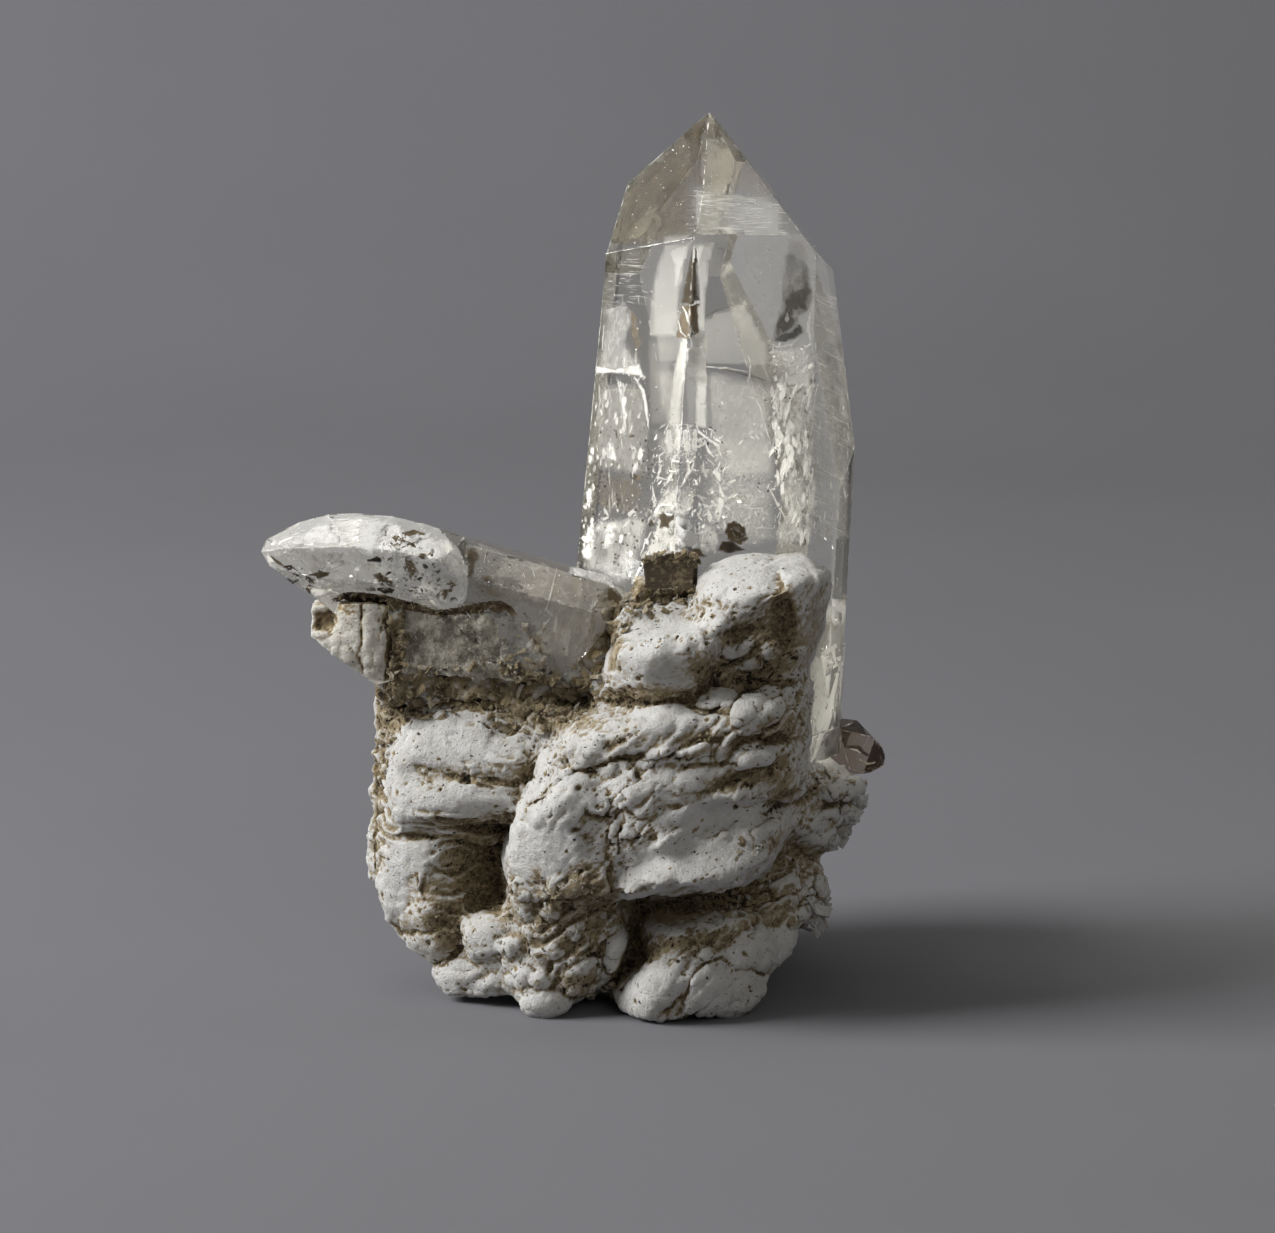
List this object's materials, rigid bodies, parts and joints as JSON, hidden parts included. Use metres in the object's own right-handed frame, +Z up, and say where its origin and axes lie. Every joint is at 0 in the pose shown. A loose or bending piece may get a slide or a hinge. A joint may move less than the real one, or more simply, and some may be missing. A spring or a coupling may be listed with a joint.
{
  "type": "quartz crystal specimen",
  "caption": "Mineral specimen: a large clear upright quartz point and a smaller sloping one grown on a ledged lump of white albite with brown mica.",
  "frame": {"origin": "middle of the bounding box's underside, on the plane that the specimen stands on", "axes": "+Z up, nearly along the large crystal; -Y is the side with the ledges and the sloping crystal in front; the sloping crystal's free end points to -X"},
  "size_m": [0.075, 0.0528, 0.1047],
  "materials": {
    "clear_quartz": "clear, glossy faces with fine striations, veils and brown specks inside",
    "dusty_quartz": "grey, dusty prism with a white, layered, glassy head",
    "smoky_quartz": "brownish, clear, with a chipped tip",
    "albite": "white, rough to satin, with brown dirt in pits and creases",
    "feldspar": "cream, satin cleavage faces with a brown side",
    "mica": "brown, pearly, in thin sheets"
  },
  "bodies": {
    "root": {"main_quartz_point": "clear_quartz", "left_quartz_crystal": "dusty_quartz", "rear_smoky_quartz": "smoky_quartz", "albite_matrix": "albite", "feldspar_block": "feldspar", "mica_book": "mica"}
  },
  "joints": []
}
